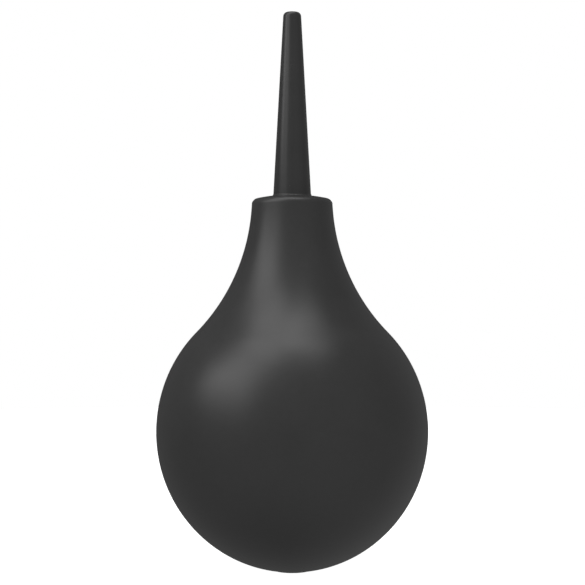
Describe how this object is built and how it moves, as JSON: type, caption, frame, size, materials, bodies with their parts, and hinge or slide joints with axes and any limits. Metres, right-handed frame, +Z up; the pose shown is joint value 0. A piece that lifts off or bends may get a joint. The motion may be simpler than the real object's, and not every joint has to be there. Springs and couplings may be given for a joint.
{
  "type": "dust blower bulb",
  "caption": "Round rubber hand bulb with a tapered push-in nozzle and an inlet check valve in its base, for blowing dust off watch parts.",
  "frame": {"origin": "centre of the foot, the small flat under the inlet valve that the blower stands on", "axes": "+Z up along the axis of the bulb and nozzle, towards the nozzle's tip; +X and +Y are any two square directions across it"},
  "size_m": [0.06, 0.06, 0.1234],
  "materials": {
    "bulb_rubber": "matte black moulded rubber",
    "nozzle_plastic": "satin black moulded plastic",
    "valve_plastic": "satin black moulded nylon",
    "valve_steel": "polished stainless steel"
  },
  "bodies": {
    "bulb_body": {"bulb": "bulb_rubber"},
    "inlet_valve": {"valve_body": "valve_plastic", "valve_cage": "valve_plastic", "valve_spring": "valve_steel"},
    "ball": {"valve_ball": "valve_steel"},
    "nozzle": {"nozzle": "nozzle_plastic"}
  },
  "joints": [
    {"name": "base_squeeze", "type": "slide", "parent": "bulb_body", "child": "inlet_valve", "axis": [0, 0, 1], "range_m": [0, 0.02], "stiffness_N_per_m": 2000, "deforming": ["bulb"]},
    {"name": "nozzle_pull", "type": "slide", "parent": "bulb_body", "child": "nozzle", "axis": [0, 0, 1], "range_m": [0, 0.025], "deforming": ["bulb"]},
    {"name": "ball_lift", "type": "slide", "parent": "inlet_valve", "child": "ball", "axis": [0, 0, 1], "range_m": [0, 0.0012], "stiffness_N_per_m": 30, "springref_m": -0.0005, "deforming": ["valve_spring"]}
  ]
}
